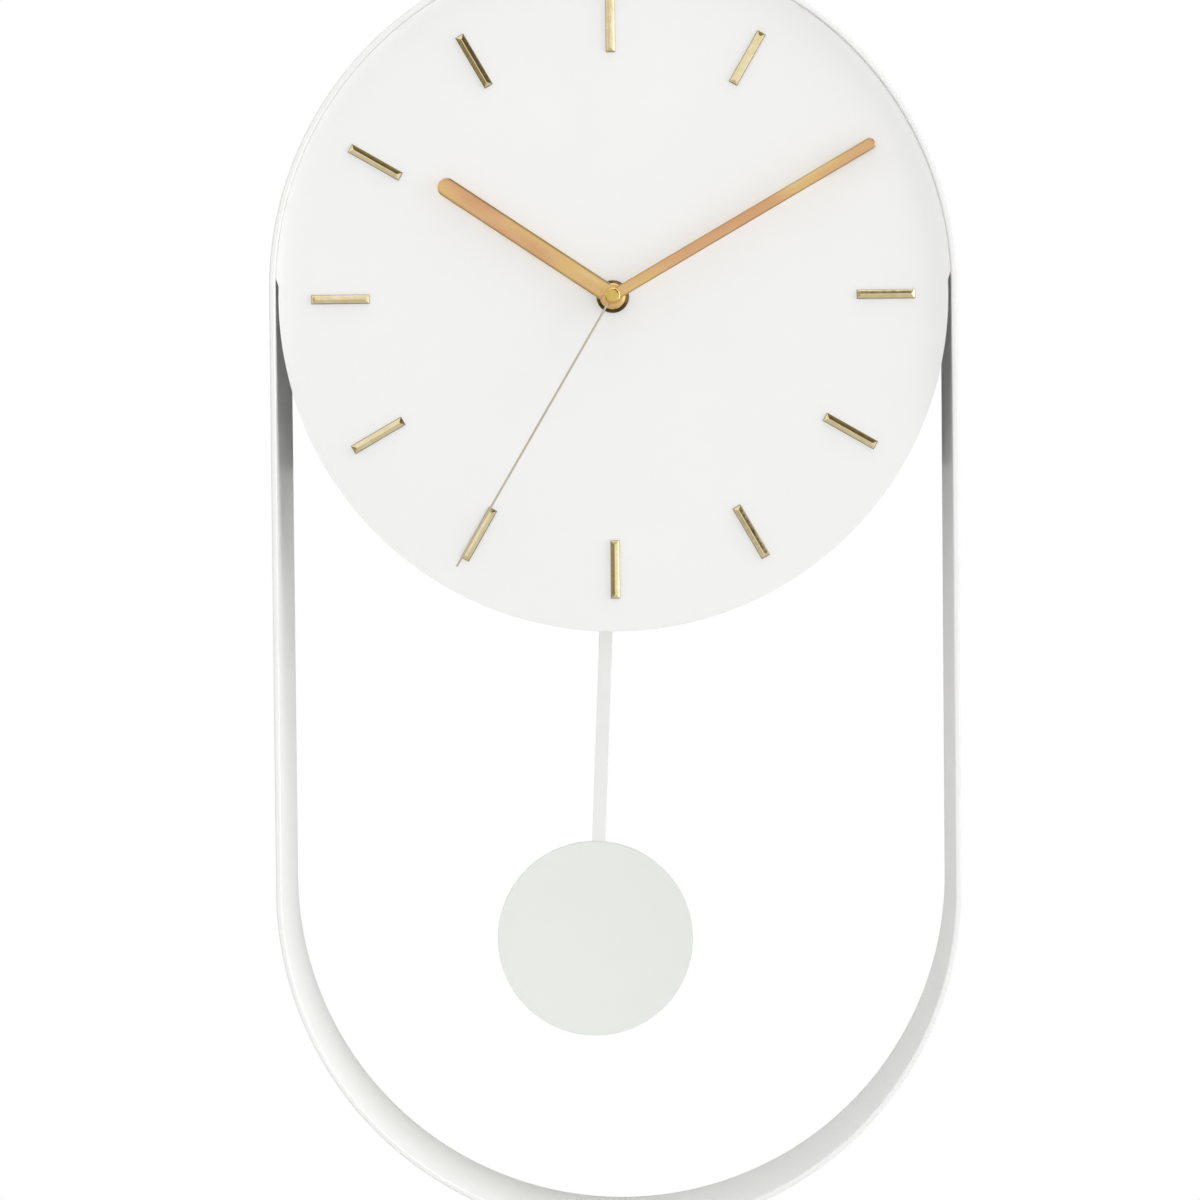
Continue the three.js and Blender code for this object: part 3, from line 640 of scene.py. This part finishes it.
def make_marker(hour):
    """A bevelled bar: upright sides, then flat faces up to a narrow crest, with mitred ends."""
    low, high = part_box("marker_12")
    half_w = high.x
    half_h = (high.z - low.z) / 2
    centre = (low.z + high.z) / 2 - SHAFT_Z
    section = [(0, high.y)] + [(inset * MM, high.y - up * MM) for inset, up in BAR_SECTION]
    bm = bmesh.new()
    rings = []
    for inset, y in section:
        w, h = half_w - inset, half_h - inset
        rings.append([bm.verts.new((x, y, centre + z)) for x, z in ((-w, -h), (w, -h), (w, h), (-w, h))])
    bridge(bm, rings)
    bm.faces.new(rings[0])
    bm.faces.new(rings[-1])
    bmesh.ops.transform(bm, matrix=about_axis(SHAFT_Z, math.radians(30 * hour)), verts=bm.verts)
    return to_object(bm, f"bar_{hour:02d}", smooth_angle=24)


for hour in range(1, 13):
    stands_for(make_marker(hour), f"marker_{hour:02d}")


# ---------------------------------------------------------------- hands


def hand_outline(length, width, eye):
    """A parallel blade with a round end, running out of a round eye."""
    half = width / 2

    def outline(inset):
        blade, round_eye = half - inset, eye - inset
        start = math.degrees(math.asin(min(1.0, blade / round_eye)))
        tip = arc(0, length - half, blade, 0, 180, 24)
        hub = arc(0, 0, round_eye, 90 + start, 450 - start, 56)
        return tip + hub

    return outline


def make_hand(node, name, width, eye, bore, crown, tint=ROSE_TO_YELLOW):
    """A stamped hand with a crowned face, as long as its CAD node and pointing the same way."""
    length, angle = farthest(node, SHAFT_Z)
    low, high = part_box(node)
    holes = [circle(bore, count=48)]
    edge = (0.1 * MM, 0.1 * MM)
    place = about_axis(SHAFT_Z, angle)
    piece = plate(name, hand_outline(length, width, eye), holes, high.y, low.y, edge, crown, place)
    stands_for(piece, node, satin_gold(f"hand_gold_{node}", angle, tint, width / 2))


make_hand(
    "hour_hand", "hour_blade", width=6.2 * MM, eye=4.2 * MM, bore=2.52 * MM, crown=(0.9 * MM, 0.3 * MM)
)
make_hand(
    "minute_hand", "minute_blade", width=3.8 * MM, eye=3.8 * MM, bore=1.52 * MM, crown=(0.7 * MM, 0.3 * MM)
)
make_hand(
    "second_hand", "second_needle", width=0.7 * MM, eye=2.2 * MM, bore=0.52 * MM, crown=(0.25 * MM, 0.2 * MM),
    tint=CHAMPAGNE,
)


def make_cap():
    """The second hand's cap: a shallow button with a faint ring turned into its face."""
    low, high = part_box("centre_cap")
    r, back, front = high.x, high.y, low.y
    profile = [
        (0, back), (r - 0.15 * MM, back), (r, back - 0.15 * MM), (r, front + 0.45 * MM),
        (r - 0.12 * MM, front + 0.25 * MM), (r - 0.55 * MM, front + 0.06 * MM),
        (r - 0.75 * MM, front + 0.02 * MM), (r - 0.95 * MM, front + 0.05 * MM),
        (r - 1.3 * MM, front + 0.02 * MM), (0.5 * MM, front), (0, front),
    ]
    return turned("cap_button", profile, 0, SHAFT_Z, smooth_angle=40)


def make_nut():
    """The round front nut: a ring with a wide chamfer."""
    low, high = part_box("front_nut")
    r, back, front = high.x, high.y, low.y
    bore = 4.1 * MM
    profile = [
        (bore, back), (r - 0.2 * MM, back), (r, back - 0.2 * MM), (r, front + 0.9 * MM),
        (r - 0.08 * MM, front + 0.78 * MM), (r - 0.72 * MM, front + 0.12 * MM), (r - 0.9 * MM, front),
        (bore + 0.2 * MM, front), (bore, front + 0.2 * MM),
    ]
    return turned("hub_nut", profile, 0, SHAFT_Z, closed=True, smooth_angle=25)


stands_for(make_cap(), "centre_cap", turned_metal("cap_gold", (0.84, 0.58, 0.18), (0.74, 0.48, 0.13)))
# The nut's brass is given an almost black colour: painted shade for the dark recess round the nut, under the
# hands.
stands_for(make_nut(), "front_nut", turned_metal("nut_brass_painted_shade", (0.15, 0.09, 0.03), (0.07, 0.04, 0.012), 0.3))


# ---------------------------------------------------------------- pendulum


def swing():
    """How far the stored pendulum hangs clockwise of straight down, and the bob's distance from the pivot."""
    low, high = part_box("bob")
    centre = (low + high) / 2
    return math.atan2(-centre.x, PIVOT_Z - centre.z), math.hypot(centre.x, PIVOT_Z - centre.z)


SWING, BOB_DROP = swing()
PENDULUM = about_axis(PIVOT_Z, SWING)


def make_bob():
    """The bob's disc."""
    low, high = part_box("bob")
    radius = (high.z - low.z) / 2
    edge = (0.35 * MM, 0.35 * MM)
    return plate("bob_disc", circle(radius, 0, -BOB_DROP, 240), [], high.y, low.y, edge, None, PENDULUM)


def make_rod():
    """The pendulum's flat rod, drawn down from the pivot, with the hole that hooks on the lever."""
    low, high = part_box("pendulum_rod")
    half = 2.2 * MM
    outline = rectangle(-half, -BOB_DROP - 8 * MM, half, -16.6 * MM, 1.2 * MM)
    holes = [circle(1.3 * MM, 0, -20 * MM, 32)]
    edge = (0.25 * MM, 0.25 * MM)
    return plate("rod_strip", outline, holes, high.y, low.y, edge, None, PENDULUM)


stands_for(make_bob(), "bob")
stands_for(make_rod(), "pendulum_rod")


# ---------------------------------------------------------------- battery and knob


def make_battery():
    """One AA cell lying along X: a can with rolled shoulders, a plus stud and a sunk minus plate."""
    low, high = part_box("battery")
    r = (high.z - low.z) / 2
    centre_y, centre_z = (low.y + high.y) / 2, (low.z + high.z) / 2
    length = high.x - low.x
    stud = 1 * MM
    can = length - stud
    profile = [
        (0, 0.1 * MM), (4.2 * MM, 0.1 * MM), (4.4 * MM, 0.3 * MM), (5.3 * MM, 0.35 * MM), (5.6 * MM, 0),
        (r - 0.5 * MM, 0), (r - 0.15 * MM, -0.15 * MM), (r, -0.5 * MM), (r, 0.6 * MM - can),
        (r - 0.2 * MM, 0.2 * MM - can), (r - 0.6 * MM, -can), (3.2 * MM, -can), (3.0 * MM, 0.3 * MM - can),
        (2.75 * MM, 0.2 * MM - can), (2.7 * MM, 0.25 * MM - length), (2.45 * MM, -length), (0, -length),
    ]
    piece = turned("battery_cell", profile, smooth_angle=35)
    lie_down = Matrix.Rotation(math.radians(90), 4, "Z")
    piece.data.transform(Matrix.Translation((low.x, centre_y, centre_z)) @ lie_down)
    return piece


stands_for(make_battery(), "battery")


# ---------------------------------------------------------------- moulded details of the case


def make_knob():
    """The setting knob's fluted grip."""
    low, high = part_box("setting_knob")
    centre_x, centre_z = (low.x + high.x) / 2, (low.z + high.z) / 2
    r = (high.x - low.x) / 2
    flutes = 18

    def fluted(inset):
        points = []
        for i in range(flutes * 8):
            angle = 2 * math.pi * i / (flutes * 8)
            reach = r - inset - 0.35 * MM * max(0.0, math.cos(flutes * angle))
            points.append((centre_x + reach * math.cos(angle), centre_z + reach * math.sin(angle)))
        return points

    edge = (0.45 * MM, 0.4 * MM)
    return plate("knob_grip", fluted, [], high.y, low.y, edge, (0.15 * MM, 0.15 * MM))


def on_housing(piece, like):
    """An extra piece of the housing, with the finish of the node it belongs to."""
    piece.data.materials.append(FINISHES[SLOT_OF[like]])
    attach(piece, "housing")


def make_knob_collar():
    """A low ring moulded on the case round the knob."""
    knob_low, knob_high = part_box("setting_knob")
    centre_x, centre_z = (knob_low.x + knob_high.x) / 2, (knob_low.z + knob_high.z) / 2
    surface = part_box("case_back")[1].y
    rise = 0.6 * MM
    profile = [
        (5.6 * MM, surface), (5.6 * MM, surface + rise), (5.8 * MM, surface + rise + 0.1 * MM),
        (6.6 * MM, surface + rise + 0.1 * MM), (6.9 * MM, surface + rise - 0.1 * MM), (7.2 * MM, surface),
    ]
    return turned("knob_collar", profile, centre_x, centre_z, closed=True)


def make_case_frame():
    """The raised border that stiffens the back of the case, above the battery bay."""
    low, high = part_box("case_back")
    bay_height, margin, width, rise = 16.2 * MM, 2.5 * MM, 1.2 * MM, 0.45 * MM
    left, right = low.x + margin, high.x - margin
    bottom, top = low.z + bay_height + 1 * MM, high.z - margin
    outer = rectangle(left, bottom, right, top, 2.5 * MM)
    inner = rectangle(left + width, bottom + width, right - width, top - width, 1.5 * MM)
    edge = (0.2 * MM, 0.25 * MM)
    return plate("case_border", outer, [inner], high.y + rise, high.y, edge, (0.02 * MM, 0.02 * MM))


stands_for(make_knob(), "setting_knob")
on_housing(make_knob_collar(), "case_back")
on_housing(make_case_frame(), "case_back")


# ---------------------------------------------------------------- the rest, with softened edges


def softened(node, width):
    """The part as it was cut, welded, with its flats made whole and its edges rounded."""
    bm = bmesh.new()
    bm.from_mesh(frame["nodes"][node].data)
    bmesh.ops.remove_doubles(bm, verts=bm.verts, dist=0.001 * MM)
    bmesh.ops.dissolve_limit(bm, angle_limit=math.radians(0.5), verts=bm.verts, edges=bm.edges)
    edges = [e for e in bm.edges if len(e.link_faces) == 2 and e.calc_face_angle() > math.radians(40)]
    bmesh.ops.bevel(bm, geom=edges, offset=width, segments=2, profile=0.5, affect="EDGES", clamp_overlap=True)
    return to_object(bm, f"soft_{node}", smooth_angle=30)


FINE_EDGE = 0.06
EDGE_WIDTHS = {
    "hanger_bracket": 0.3,
    "case_front": 0.35,
    "case_back": 0.35,
    "dial_washer": 0.25,
    "pendulum_lever": 0.3,
    "drive_magnet": 0.3,
    "bob_rivet": 0.3,
}

for subpart in record["subparts"]:
    node = subpart["node"]
    if not frame["nodes"][node].hide_render:
        stands_for(softened(node, EDGE_WIDTHS.get(node, FINE_EDGE) * MM), node)
